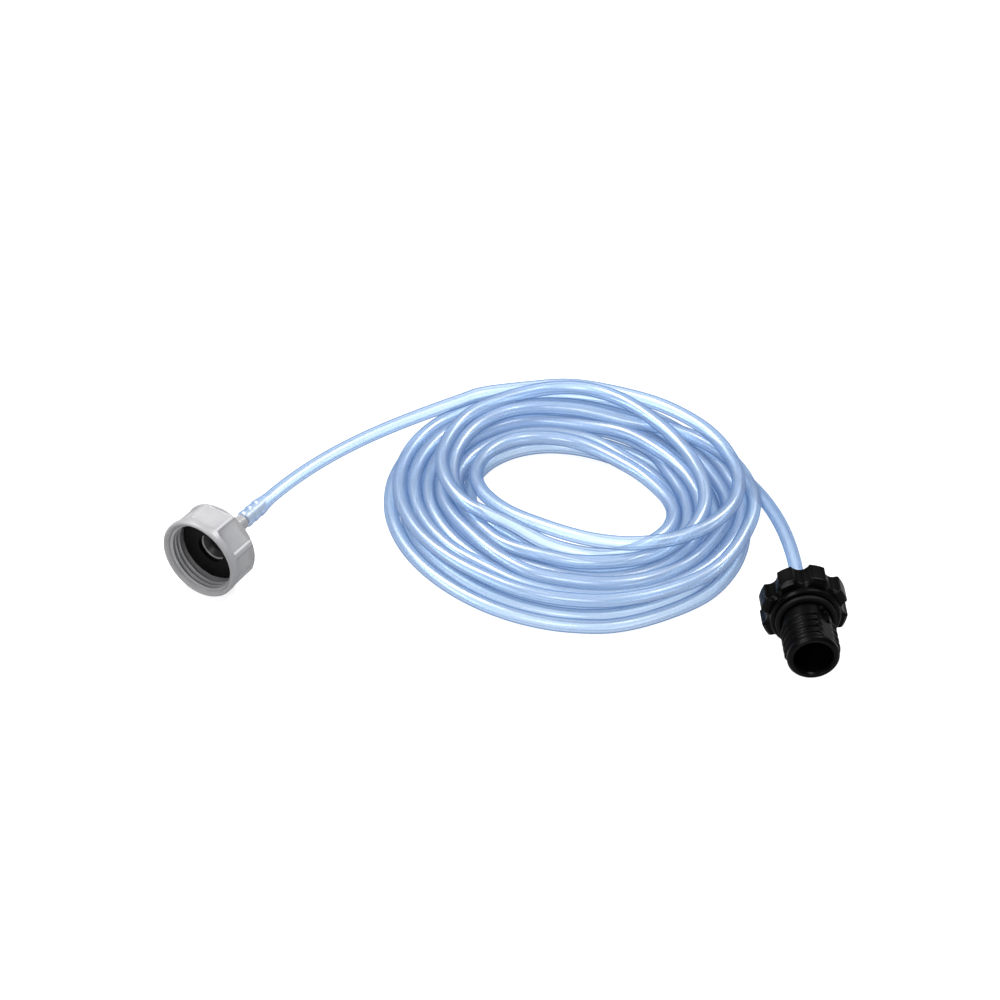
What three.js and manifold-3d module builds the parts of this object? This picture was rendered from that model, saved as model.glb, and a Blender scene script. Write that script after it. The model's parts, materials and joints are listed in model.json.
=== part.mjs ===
// Coiled clear vinyl hose with a tap coupling on one end and a screw-in spigot on the other.
// Millimetres, +Z up. Everything is laid out around the middle of the coil with the floor at
// z = 0; the two hose ends come to rest beside the coil, each fitting lying on its own rim.
import * as THREE from "three";
import * as BufferGeometryUtils from "three/addons/utils/BufferGeometryUtils.js";
import Module from "manifold-3d";

const wasm = await Module();
wasm.setup();

const { sin, cos, PI, hypot, atan2, floor, max, min } = Math;
const rad = (deg) => (deg * PI) / 180;

// ---------------------------------------------------------------- driving dimensions

// hose
const HOSE_OD = 6;
const HOSE_ID = 4;
const OUTER_SIDES = 8;
const INNER_SIDES = 5;
const FLARED_OD = 6.9; // where the hose is stretched over a barb
const FLARED_ID = 5.1;
const FLARED_LENGTH = 15;
const FLEX_GAP = 2.2; // clear length of hose left out at every bending point

// coil
const STATIONS = 24; // points on every turn
const STRAND_PITCH = 6.42; // closest distance between two strand centre lines
const SLOT_PITCH = 6.05;
const LONG_AXIS = rad(-45); // direction in which the turns are pulled out of round
const WAVER = 0.6;

// Each layer of the heap: radius of its innermost turn, shift of its centre, out-of-round
// amount and how much less out of round every next turn outward is.
const LAYERS = {
  b: { radius: 48, dx: 1.5, dy: 2.5, oval: 6, easing: 0.3 },
  m: { radius: 49, dx: 1, dy: 2.5, oval: 7, easing: 0.4 },
  t: { radius: 45, dx: 1, dy: 3, oval: 7, easing: 0.2 },
  u: { radius: 45.5, dx: 2, dy: 3, oval: 6.5, easing: 0 },
};

// The place every turn takes at the back and at the front of the coil, in winding order:
// the layer letter and the number of strands from the inner edge.
const AT_BACK = "b5 b4 b2 b3 b1 b0 m0 m2 m1 m3 m4 t1 t3 t0 t4.3".split(" ");
const AT_FRONT = "b5.3 b4.1 b3 b2 b1 b0 m0 m1 m2 m3 m4 t1 t0 u0".split(" ");
const AT_RIGHT = { 9: "m5", 10: "m4.4", 13: "t4.7" };
const TURNS = AT_BACK.length - 1;

// tap end: centre of the nut's open end and the direction it faces
const TAP_MOUTH = [-158, -52.8, 18.7];
const TAP_HEADING = rad(-122.9);
const TAP_JOIN = { station: TURNS * STATIONS + 8, radius: 81, height: 16 };
const TAP_REACH = 44;
const TAP_FLEX = [0.17, 0.55]; // along the free lead, swing then lift

// spigot end: centre of the lobed nut's front face and the direction it faces
const SPIGOT_FACE = [97.9, -88.6, 18.5];
const SPIGOT_HEADING = rad(-85.6);
const SPIGOT_JOIN = { station: 2, radius: 76, height: 3.2 };
const SPIGOT_REACH = 36;
const SPIGOT_FLEX = [0.4, 0.7];

// tap coupling, measured back from the open end of the nut
const NUT = {
  rim: 18.7,
  flat: 17.3,
  length: 17,
  collar: 3.2,
  bore: 16.2,
  threadCrest: 15.2,
  threadPitch: 2.31,
  threadTurns: 3,
  wall: 14.2,
  hole: 5.5,
  ribs: 8,
  ribWidth: 3,
  ribStart: rad(-25),
};
const WASHER = { front: 9.3, back: 11.7, outer: 14.8, inner: 6.5 };
const TAIL = { front: 12, flange: 1.9, flangeR: 13.4, neckR: 5, hubR: 4, hoseStop: 32, bore: 1.3 };
const BARB = { tip: 1.8, crest: 2.35, root: 1.95, pitch: 4.4, count: 3 };

// spigot adaptor, measured forward from the front face of the lobed nut
const LOBED = {
  rim: 18.5,
  length: 11.2,
  lobes: 8,
  notchR: 4.15,
  notchAt: 19.65,
  notchStart: rad(4.4),
  hubR: 12.8,
  hubEnd: 19.5,
  hubEndR: 7,
  root: 13.1,
  threadCrest: 11.9,
  hole: 4.1,
};
const JOINING_PITCH = 2.5;
const SPIGOT = {
  maleRoot: 11.3,
  maleCrest: 12.5,
  back: 10.4,
  collarR: 14.9,
  collar: 3,
  barrelR: 10.5,
  length: 29,
  boreR: 7.8,
  boreEnd: 6,
  ridgeR: 11.4,
  ridgeStart: 12.6,
  ridgePitch: 3.85,
  ridgeWidth: 1.7,
  ridges: 4,
  panelAt: rad(48),
  panelDepth: 9.9,
};
const SEAL = { back: 3.3, front: 5.3, outer: 13, inner: 10.9 };
const GRIP = { front: 11.6, back: 17, inner: 3.9, frontR: 8.4, backR: 5, slots: 3, slot: 1.2 };

// ---------------------------------------------------------------- solids

function toSolid(geometry) {
  const bare = geometry.clone();
  bare.deleteAttribute("normal");
  bare.deleteAttribute("uv");
  const welded = BufferGeometryUtils.mergeVertices(bare, 1e-4);
  const mesh = new wasm.Mesh({
    numProp: 3,
    vertProperties: new Float32Array(welded.attributes.position.array),
    triVerts: new Uint32Array(welded.index.array),
  });
  mesh.merge();
  return new wasm.Manifold(mesh);
}

function toGeometry(solid) {
  const mesh = solid.getMesh();
  const geometry = new THREE.BufferGeometry();
  const flat = new Float32Array(mesh.numVert * 3);
  for (let i = 0; i < mesh.numVert; i += 1) {
    for (let k = 0; k < 3; k += 1) {
      flat[3 * i + k] = mesh.vertProperties[mesh.numProp * i + k];
    }
  }
  geometry.setAttribute("position", new THREE.BufferAttribute(flat, 3));
  geometry.setIndex(new THREE.BufferAttribute(new Uint32Array(mesh.triVerts), 1));
  geometry.computeVertexNormals();
  return geometry;
}

// Revolve a closed outline of [radius, along] pairs about +Z.
function revolve(outline, sides, turn = 0) {
  const points = outline.map(([r, z]) => new THREE.Vector2(r, z));
  const geometry = new THREE.LatheGeometry([...points, points[0].clone()], sides);
  geometry.rotateX(PI / 2);
  geometry.rotateZ(turn);
  const solid = toSolid(geometry);
  return solid.volume() < 0 ? toSolid(flipped(geometry)) : solid;
}

function flipped(geometry) {
  const copy = geometry.clone();
  const index = copy.index.array;
  for (let i = 0; i < index.length; i += 3) {
    [index[i], index[i + 1]] = [index[i + 1], index[i]];
  }
  return copy;
}

function box(width, depth, height, x, y, z, turn = 0) {
  const geometry = new THREE.BoxGeometry(width, depth, height);
  geometry.translate(x, y, z);
  geometry.rotateZ(turn);
  return toSolid(geometry);
}

function rod(radius, height, sides, x, y, z, turn = 0) {
  const geometry = new THREE.CylinderGeometry(radius, radius, height, sides);
  geometry.rotateX(PI / 2);
  geometry.translate(x, y, z);
  geometry.rotateZ(turn);
  return toSolid(geometry);
}

// A path through given points with given frames; the sweep lands on every point.
class FramedPath extends THREE.Curve {
  constructor(points, frames = null) {
    super();
    this.points = points;
    this.frames = frames;
  }

  getPoint(t) {
    const last = this.points.length - 1;
    const at = min(max(t, 0), 1) * last;
    const i = min(floor(at + 1e-9), last - 1);
    return this.points[i].clone().lerp(this.points[i + 1], at - i);
  }

  getPointAt(t) {
    return this.getPoint(t);
  }

  getTangentAt(t) {
    const last = this.points.length - 1;
    const i = Math.round(t * last);
    const before = this.points[max(i - 1, 0)];
    const after = this.points[min(i + 1, last)];
    return after.clone().sub(before).normalize();
  }

  computeFrenetFrames(steps, closed) {
    return this.frames ?? super.computeFrenetFrames(steps, closed);
  }
}

function ring(sides, radius, turn = 0) {
  return Array.from({ length: sides }, (_, i) => {
    const a = turn + (2 * PI * i) / sides;
    return new THREE.Vector2(radius * cos(a), radius * sin(a));
  });
}

function sweep(shape, path) {
  const steps = path.points.length - 1;
  const geometry = new THREE.ExtrudeGeometry(shape, { steps, extrudePath: path, curveSegments: 1 });
  const solid = toSolid(geometry);
  return solid.volume() < 0 ? toSolid(flipped(BufferGeometryUtils.mergeVertices(geometry))) : solid;
}

// A screw thread ridge about +Z. It runs from radius "foot" to radius "crest".
function ridge(foot, crest, footWidth, crestWidth, pitch, from, turns, start, segments) {
  const steps = Math.round(turns * segments);
  const frames = { tangents: [], normals: [], binormals: [] };
  const points = [];
  for (let i = 0; i <= steps; i += 1) {
    const a = start + (2 * PI * i) / segments;
    points.push(new THREE.Vector3(foot * cos(a), foot * sin(a), from + (pitch * i) / segments));
    frames.tangents.push(new THREE.Vector3(-sin(a), cos(a), 0));
    frames.normals.push(new THREE.Vector3(cos(a), sin(a), 0));
    frames.binormals.push(new THREE.Vector3(0, 0, 1));
  }
  const reach = crest - foot;
  const shape = new THREE.Shape([
    new THREE.Vector2(0, -footWidth / 2),
    new THREE.Vector2(reach, -crestWidth / 2),
    new THREE.Vector2(reach, crestWidth / 2),
    new THREE.Vector2(0, footWidth / 2),
  ]);
  return sweep(shape, new FramedPath(points, frames));
}

// ---------------------------------------------------------------- hose centre line

function behind(point, heading, distance) {
  const [x, y, z] = point;
  return new THREE.Vector3(x - distance * cos(heading), y - distance * sin(heading), z);
}

function onCircle(angle, radius, height) {
  return new THREE.Vector3(radius * cos(angle), radius * sin(angle), height);
}

function lead(join, reach, outward, tilt, end, heading) {
  const angle = rad((join.station * 360) / STATIONS);
  const from = onCircle(angle, join.radius, join.height);
  const along = new THREE.Vector3(-sin(angle), cos(angle), tilt).multiplyScalar(outward);
  const ahead = new THREE.Vector3(cos(heading), sin(heading), 0);
  return new THREE.CubicBezierCurve3(
    from,
    from.clone().addScaledVector(along, reach),
    end.clone().addScaledVector(ahead, -reach),
    end,
  );
}

const tapHoseEnd = TAIL.hoseStop + 0.6;
const spigotHoseEnd = SPIGOT.back + 0.6;
const tapLead = lead(
  TAP_JOIN,
  TAP_REACH,
  1,
  0,
  behind(TAP_MOUTH, TAP_HEADING, tapHoseEnd + FLARED_LENGTH + 2),
  TAP_HEADING,
);
const spigotLead = lead(
  SPIGOT_JOIN,
  SPIGOT_REACH,
  -1,
  -0.22,
  behind(SPIGOT_FACE, SPIGOT_HEADING, spigotHoseEnd + FLARED_LENGTH + 2),
  SPIGOT_HEADING,
);

// Where a turn wants to lie: its distance from the coil's axis at one angle.
function slotRadius(slot, angle) {
  const layer = LAYERS[slot[0]];
  const place = Number(slot.slice(1));
  const seed = place * 2.1 + slot.charCodeAt(0);
  const waver = WAVER * (sin(2 * angle + seed) + 0.7 * sin(angle + 2.2 * seed));
  const shift = layer.dx * cos(angle) + layer.dy * sin(angle);
  const oval = (layer.oval - layer.easing * place) * cos(2 * (angle - LONG_AXIS));
  return layer.radius + place * SLOT_PITCH + shift + waver + oval;
}

function wantedRadius(degrees) {
  const angle = rad(degrees);
  const quarter = floor((degrees - 90) / 90);
  const at = (q) => {
    const turn = floor(q / 4);
    if (turn < 0) {
      return slotRadius(AT_BACK[0], angle);
    }
    const back = AT_BACK[min(turn, TURNS)];
    const front = AT_FRONT[min(turn, TURNS - 1)];
    const next = AT_BACK[min(turn + 1, TURNS)];
    const side = q - 4 * turn;
    if (side === 0) {
      return slotRadius(back, angle);
    }
    if (side === 2) {
      return slotRadius(front, angle);
    }
    if (side === 3 && AT_RIGHT[turn]) {
      return slotRadius(AT_RIGHT[turn], angle);
    }
    return (slotRadius(side === 1 ? back : next, angle) + slotRadius(front, angle)) / 2;
  };
  const f = (degrees - 90) / 90 - quarter;
  const ease = f * f * (3 - 2 * f);
  return at(quarter) * (1 - ease) + at(quarter + 1) * ease;
}

// Radius and height at which a free lead passes a station's angle.
function leadAt(curve, degrees) {
  const angle = rad(degrees);
  const points = curve.getPoints(60);
  const turned = (p) => {
    const a = atan2(p.y, p.x) - angle;
    return a - 2 * PI * Math.round(a / (2 * PI));
  };
  for (let i = 0; i < points.length - 1; i += 1) {
    const a = turned(points[i]);
    const b = turned(points[i + 1]);
    if (a * b <= 0 && a !== b) {
      const p = points[i].clone().lerp(points[i + 1], a / (a - b));
      return { r: hypot(p.x, p.y), z: p.z };
    }
  }
  return null;
}

// The turns are laid one above the other in winding order and let down onto each other.
// Every station only moves in its own half plane through the coil's axis.
function settleCoil() {
  const first = SPIGOT_JOIN.station;
  const last = TAP_JOIN.station;
  const strand = [];
  for (let i = first - 3; i <= last + 4; i += 1) {
    const degrees = (i * 360) / STATIONS;
    let at;
    if (i < first) {
      at = { ...leadAt(spigotLead, degrees), fixed: true };
    } else if (i > last) {
      at = { ...leadAt(tapLead, degrees), fixed: true };
    } else if (i === first) {
      at = { r: SPIGOT_JOIN.radius, z: SPIGOT_JOIN.height, fixed: true };
    } else if (i === last) {
      at = { r: TAP_JOIN.radius, z: TAP_JOIN.height, fixed: true };
    } else {
      at = { r: wantedRadius(degrees), z: 0, fixed: false };
    }
    const laid = HOSE_OD / 2 + (STRAND_PITCH * max(i - first, 0)) / STATIONS;
    const free = !at.fixed || i >= last;
    strand.push({ ...at, i, wanted: at.r, rest: at.fixed ? at.z : 0, z: free ? laid : at.z });
  }

  // Spans between neighbouring stations, grouped by the pair of planes they run between.
  const spans = Array.from({ length: STATIONS }, () => []);
  for (let k = 0; k < strand.length - 1; k += 1) {
    const turn = strand[k].i % STATIONS;
    spans[(turn + STATIONS) % STATIONS].push([strand[k], strand[k + 1]]);
  }

  // Push two spans apart where they come closest.
  const part = ([a0, a1], [b0, b1]) => {
    const r0 = b0.r - a0.r;
    const z0 = b0.z - a0.z;
    const dr = b1.r - a1.r - r0;
    const dz = b1.z - a1.z - z0;
    const along = dr * dr + dz * dz;
    const t = along > 1e-9 ? min(max(-(r0 * dr + z0 * dz) / along, 0), 1) : 0.5;
    const r = r0 + dr * t;
    const z = z0 + dz * t;
    const d = max(hypot(r, z), 1e-6);
    if (d >= STRAND_PITCH) {
      return;
    }
    const share = (STRAND_PITCH - d) / d / (t * t + (1 - t) * (1 - t));
    const shove = (s, sign, weight) => {
      if (!s.fixed) {
        s.r += sign * r * share * weight;
        s.z += sign * z * share * weight;
      }
    };
    shove(a0, -0.5, 1 - t);
    shove(a1, -0.5, t);
    shove(b0, 0.5, 1 - t);
    shove(b1, 0.5, t);
  };
  const touch = () => {
    for (const group of spans) {
      for (let a = 0; a < group.length; a += 1) {
        for (let b = a + 1; b < group.length; b += 1) {
          part(group[a], group[b]);
        }
      }
    }
    for (const s of strand) {
      s.z = s.fixed ? s.z : max(s.z, HOSE_OD / 2);
    }
  };
  const straighten = (amount) => {
    const off = strand.map((s) => s.r - s.wanted);
    const z = strand.map((s) => s.z);
    for (let i = 1; i < strand.length - 1; i += 1) {
      if (!strand[i].fixed) {
        strand[i].r += amount * ((off[i - 1] + off[i + 1]) / 2 - off[i]);
        strand[i].z += amount * ((z[i - 1] + z[i + 1]) / 2 - z[i]);
      }
    }
  };

  for (let step = 0; step < 1500; step += 1) {
    straighten(0.3);
    straighten(0.3);
    straighten(0.3);
    for (const s of strand) {
      s.r += s.fixed ? 0 : 0.02 * (s.wanted - s.r);
      s.z = max(s.z - 0.12, s.rest);
    }
    for (let pass = 0; pass < 5; pass += 1) {
      touch();
    }
  }
  for (let step = 0; step < 1200; step += 1) {
    if (step < 1000 && step % 2 === 0) {
      straighten(0.25 * (1 - step / 1000));
    }
    touch();
  }
  const kept = strand.filter((s) => s.i >= first && s.i <= last);
  return kept.map((s) => onCircle(rad((s.i * 360) / STATIONS), s.r, s.z));
}

// Points of a free lead between two shares of its length, ends included.
function leadPoints(curve, from, to, spacing) {
  const count = max(2, Math.round(((to - from) * curve.getLength()) / spacing));
  return Array.from({ length: count + 1 }, (_, i) => curve.getPointAt(from + ((to - from) * i) / count));
}

// ---------------------------------------------------------------- hose pieces

const hoseShape = new THREE.Shape(ring(OUTER_SIDES, HOSE_OD / 2));
hoseShape.holes.push(new THREE.Path(ring(INNER_SIDES, HOSE_ID / 2)));

function hose(points) {
  return sweep(hoseShape, new FramedPath(points));
}

// The end of the hose, stretched over a barb; it starts at z = 0 and runs toward -Z.
function flaredEnd() {
  const outer = FLARED_OD / 2;
  const inner = FLARED_ID / 2;
  return revolve(
    [
      [inner, 0],
      [outer, 0],
      [outer, -FLARED_LENGTH],
      [HOSE_OD / 2 - 0.1, -FLARED_LENGTH - 2.6],
      [HOSE_ID / 2 - 0.45, -FLARED_LENGTH - 2.6],
      [HOSE_ID / 2 - 0.45, -FLARED_LENGTH - 1.6],
      [inner, -FLARED_LENGTH - 0.4],
    ],
    12,
  );
}

// Turn a piece built along +Z so that +Z faces "heading" and its origin is at "point".
function place(solid, point, heading) {
  const ahead = new THREE.Vector3(cos(heading), sin(heading), 0);
  const side = new THREE.Vector3(-sin(heading), cos(heading), 0);
  const up = new THREE.Vector3(0, 0, 1);
  const m = new THREE.Matrix4().makeBasis(side, up, ahead).setPosition(...point);
  return solid.transform(m.elements);
}

function withEnd(points, face, heading, hoseEnd) {
  const end = behind(face, heading, hoseEnd).toArray();
  return hose(points).add(place(flaredEnd(), end, heading));
}

const tapGap = FLEX_GAP / tapLead.getLength() / 2;
const spigotGap = FLEX_GAP / spigotLead.getLength() / 2;

function coil() {
  const turns = settleCoil();
  const toSpigot = leadPoints(spigotLead, 0, SPIGOT_FLEX[0] - spigotGap, 8).slice(1).reverse();
  const toTap = leadPoints(tapLead, 0, TAP_FLEX[0] - tapGap, 8).slice(1);
  return hose([...toSpigot, ...turns, ...toTap]);
}

function tapLeadInner() {
  return hose(leadPoints(tapLead, TAP_FLEX[0] + tapGap, TAP_FLEX[1] - tapGap, 9));
}

function tapLeadOuter() {
  const points = leadPoints(tapLead, TAP_FLEX[1] + tapGap, 1, 9);
  return withEnd(points, TAP_MOUTH, TAP_HEADING, tapHoseEnd);
}

function spigotLeadInner() {
  return hose(leadPoints(spigotLead, SPIGOT_FLEX[0] + spigotGap, SPIGOT_FLEX[1] - spigotGap, 8));
}

function spigotLeadOuter() {
  const points = leadPoints(spigotLead, SPIGOT_FLEX[1] + spigotGap, 1, 8);
  return withEnd(points, SPIGOT_FACE, SPIGOT_HEADING, spigotHoseEnd);
}

// ---------------------------------------------------------------- tap coupling

function unionNut() {
  const back = -NUT.length;
  const collar = revolve(
    [
      [0, 0],
      [NUT.rim - 1, 0],
      [NUT.rim, -0.9],
      [NUT.rim, -NUT.collar + 0.6],
      [NUT.flat, -NUT.collar],
      [0, -NUT.collar],
    ],
    40,
  );
  const body = revolve(
    [
      [0, -NUT.collar + 1],
      [NUT.flat / cos(PI / NUT.ribs), -NUT.collar + 1],
      [NUT.flat / cos(PI / NUT.ribs), back + 1.4],
      [NUT.flat - 1.5, back],
      [0, back],
    ],
    NUT.ribs,
    NUT.ribStart + PI / 2,
  );
  let solid = collar.add(body.intersect(rod(NUT.rim - 0.6, 60, 40, 0, 0, -20)));
  const ribShape = new THREE.Shape([
    new THREE.Vector2(NUT.bore, -NUT.collar + 0.4),
    new THREE.Vector2(NUT.rim - 0.05, -NUT.collar + 0.4),
    new THREE.Vector2(NUT.rim - 0.5, back + 1.8),
    new THREE.Vector2(NUT.rim - 2, back + 0.3),
    new THREE.Vector2(NUT.bore, back + 0.3),
  ]);
  for (let k = 0; k < NUT.ribs; k += 1) {
    const rib = new THREE.ExtrudeGeometry(ribShape, { depth: NUT.ribWidth, bevelEnabled: false });
    rib.translate(0, 0, -NUT.ribWidth / 2);
    rib.rotateX(PI / 2);
    rib.rotateZ(NUT.ribStart + (2 * PI * k) / NUT.ribs);
    solid = solid.add(toSolid(rib));
  }
  const bore = revolve(
    [
      [0, 1],
      [NUT.bore + 1, 1],
      [NUT.bore, -0.8],
      [NUT.bore, -NUT.wall],
      [NUT.hole, -NUT.wall],
      [NUT.hole, back - 1],
      [0, back - 1],
    ],
    32,
  );
  const from = -1.6 - NUT.threadPitch * NUT.threadTurns;
  const thread = ridge(
    NUT.bore + 0.4,
    NUT.threadCrest,
    1.9,
    0.5,
    NUT.threadPitch,
    from,
    NUT.threadTurns,
    0.3,
    16,
  );
  return solid.subtract(bore).add(thread);
}

function washer() {
  return revolve(
    [
      [WASHER.inner, -WASHER.front],
      [WASHER.outer, -WASHER.front],
      [WASHER.outer, -WASHER.back],
      [WASHER.inner, -WASHER.back],
    ],
    32,
  );
}

// Outline of the barbed stem behind a stop, running toward -Z.
function barbOutline(stop) {
  const outline = [];
  for (let k = 0; k < BARB.count; k += 1) {
    const top = -stop - 1.2 - BARB.pitch * k;
    outline.push([BARB.root, top], [BARB.crest, top - 0.5], [BARB.root, top - BARB.pitch + 0.4]);
  }
  outline.push([BARB.tip, -stop - 1.6 - BARB.pitch * BARB.count]);
  return outline;
}

function hoseTail() {
  const flangeBack = -TAIL.front - TAIL.flange;
  const stem = barbOutline(TAIL.hoseStop);
  return revolve(
    [
      [TAIL.bore, -TAIL.front],
      [TAIL.flangeR, -TAIL.front],
      [TAIL.flangeR, flangeBack],
      [TAIL.neckR, flangeBack],
      [TAIL.neckR, -NUT.length - 1.4],
      [TAIL.hubR, -NUT.length - 3.6],
      [TAIL.hubR, -TAIL.hoseStop + 3],
      [TAIL.hubR - 0.7, -TAIL.hoseStop + 2.4],
      [TAIL.hubR - 0.7, -TAIL.hoseStop],
      [BARB.root, -TAIL.hoseStop],
      ...stem,
      [TAIL.bore, stem[stem.length - 1][1]],
    ],
    20,
  );
}

// ---------------------------------------------------------------- spigot adaptor

function lobedNut() {
  let solid = revolve(
    [
      [0, 0],
      [LOBED.rim - 1.1, 0],
      [LOBED.rim, -1.1],
      [LOBED.rim, -LOBED.length + 0.9],
      [LOBED.rim - 0.9, -LOBED.length],
      [LOBED.hubR, -LOBED.length],
      [LOBED.hubR - 1.6, -LOBED.length - 4],
      [LOBED.hubEndR, -LOBED.hubEnd],
      [0, -LOBED.hubEnd],
    ],
    40,
  );
  for (let k = 0; k < LOBED.lobes; k += 1) {
    const turn = LOBED.notchStart + (2 * PI * k) / LOBED.lobes;
    const notch = rod(LOBED.notchR, LOBED.length + 2, 16, LOBED.notchAt, 0, -LOBED.length / 2, turn);
    solid = solid.subtract(notch);
  }
  const seat = GRIP.frontR + 0.5;
  const bore = revolve(
    [
      [0, 1],
      [LOBED.root, 1],
      [LOBED.root, -LOBED.length + 0.2],
      [seat, -LOBED.length - 0.2],
      [seat, -GRIP.front - 1.3],
      [GRIP.backR + 0.45, -GRIP.back - 0.35],
      [LOBED.hole, -GRIP.back - 0.35],
      [LOBED.hole, -LOBED.hubEnd - 1],
      [0, -LOBED.hubEnd - 1],
    ],
    32,
  );
  const turns = 3.25;
  const from = -LOBED.length + 1.6;
  const thread = ridge(
    LOBED.root + 0.4,
    LOBED.threadCrest,
    1.1,
    0.5,
    JOINING_PITCH,
    from,
    turns,
    0,
    16,
  );
  return solid.subtract(bore).add(thread);
}

function spigot() {
  const stem = barbOutline(SPIGOT.back);
  const outline = [
    [SPIGOT.boreR - 0.5, SPIGOT.boreEnd + 1],
    [SPIGOT.boreR - 0.2, SPIGOT.boreEnd + 3],
    [SPIGOT.boreR, SPIGOT.length],
    [SPIGOT.barrelR - 0.4, SPIGOT.length],
    [SPIGOT.barrelR + 0.5, SPIGOT.length - 1],
    [SPIGOT.barrelR + 0.5, SPIGOT.length - 2.6],
    [SPIGOT.barrelR, SPIGOT.length - 3],
    [SPIGOT.barrelR, SPIGOT.collar],
    [SPIGOT.collarR, SPIGOT.collar],
    [SPIGOT.collarR, 0.35],
    [SPIGOT.maleRoot, 0.35],
    [SPIGOT.maleRoot, -SPIGOT.back],
    [BARB.root, -SPIGOT.back],
    ...stem,
    [TAIL.bore, stem[stem.length - 1][1]],
    [TAIL.bore, -SPIGOT.back + 2],
  ];
  let solid = revolve(outline, 24);
  for (let k = 0; k < SPIGOT.ridges; k += 1) {
    const at = SPIGOT.ridgeStart + SPIGOT.ridgePitch * k;
    const land = revolve(
      [
        [SPIGOT.barrelR - 1.5, at - SPIGOT.ridgeWidth / 2],
        [SPIGOT.barrelR - 0.1, at - SPIGOT.ridgeWidth / 2],
        [SPIGOT.ridgeR, at - SPIGOT.ridgeWidth / 4],
        [SPIGOT.ridgeR, at + SPIGOT.ridgeWidth / 4],
        [SPIGOT.barrelR - 0.1, at + SPIGOT.ridgeWidth / 2],
        [SPIGOT.barrelR - 1.5, at + SPIGOT.ridgeWidth / 2],
      ],
      24,
    );
    solid = solid.add(land);
  }
  for (const turn of [SPIGOT.panelAt, SPIGOT.panelAt + PI]) {
    const panel = box(8, 12, 20.8, SPIGOT.panelDepth + 4, 0, 15.8, turn);
    const pocket = box(4, 4.2, 6.6, SPIGOT.panelDepth + 0.8, 0, 9.8, turn);
    solid = solid.subtract(panel).subtract(pocket);
  }
  const turns = 3;
  const offset = JOINING_PITCH / 2;
  const from = -LOBED.length + 1.6 + offset;
  const thread = ridge(
    SPIGOT.maleRoot - 0.5,
    SPIGOT.maleCrest,
    1.3,
    0.5,
    JOINING_PITCH,
    from,
    turns,
    0,
    16,
  );
  return solid.add(thread);
}

function faceSeal() {
  return revolve(
    [
      [SEAL.inner, SEAL.back],
      [SEAL.outer, SEAL.back],
      [SEAL.outer, SEAL.front - 0.5],
      [SEAL.outer - 0.5, SEAL.front],
      [SEAL.inner, SEAL.front],
    ],
    32,
  );
}

function gripRing() {
  let solid = revolve(
    [
      [GRIP.inner, -GRIP.front],
      [GRIP.frontR, -GRIP.front],
      [GRIP.frontR, -GRIP.front - 1],
      [GRIP.backR, -GRIP.back],
      [GRIP.inner, -GRIP.back],
    ],
    24,
  );
  for (let k = 0; k < GRIP.slots; k += 1) {
    const turn = (2 * PI * (k + 0.5)) / GRIP.slots;
    solid = solid.subtract(box(12, GRIP.slot, 4, 6, 0, -GRIP.back + 1.2, turn));
  }
  return solid;
}

// ---------------------------------------------------------------- assembly

const looks = {
  hose: { color: 0xa9c4ee, roughness: 0.2, metalness: 0 },
  grey: { color: 0xb0b1b4, roughness: 0.45, metalness: 0 },
  black: { color: 0x17181a, roughness: 0.4, metalness: 0 },
  rubber: { color: 0x101012, roughness: 0.8, metalness: 0 },
};

const onTap = (solid) => place(solid, TAP_MOUTH, TAP_HEADING);
const onSpigot = (solid) => place(solid, SPIGOT_FACE, SPIGOT_HEADING);

const pieces = [
  ["hose_coil", coil(), looks.hose],
  ["hose_tap_lead_inner", tapLeadInner(), looks.hose],
  ["hose_tap_lead_outer", tapLeadOuter(), looks.hose],
  ["hose_adaptor_lead_inner", spigotLeadInner(), looks.hose],
  ["hose_adaptor_lead_outer", spigotLeadOuter(), looks.hose],
  ["tap_union_nut", onTap(unionNut()), looks.grey],
  ["tap_washer", onTap(washer()), looks.rubber],
  ["tap_hose_tail", onTap(hoseTail()), looks.grey],
  ["lobed_nut", onSpigot(lobedNut()), looks.black],
  ["adaptor_spigot", onSpigot(spigot()), looks.black],
  ["spigot_face_seal", onSpigot(faceSeal()), looks.rubber],
  ["hose_grip_ring", onSpigot(gripRing()), looks.black],
];

// The origin is moved to the middle of the whole outline, on the floor.
const outline = wasm.Manifold.compose(pieces.map(([, solid]) => solid)).boundingBox();
const middle = [0, 1].map((k) => (outline.min[k] + outline.max[k]) / 2);

const group = new THREE.Group();
group.name = "coiled_hose";
for (const [name, solid, look] of pieces) {
  const settled = solid.translate([-middle[0], -middle[1], -outline.min[2]]);
  const mesh = new THREE.Mesh(toGeometry(settled), new THREE.MeshStandardMaterial(look));
  mesh.name = name;
  group.add(mesh);
}

export default group;
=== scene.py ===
"""Looks for the coiled hose: clear blue vinyl tube, grey tap nut with its tail and washer, and the
black spigot adaptor with its lobed nut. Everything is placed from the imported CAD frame."""

import json
import math

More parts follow.
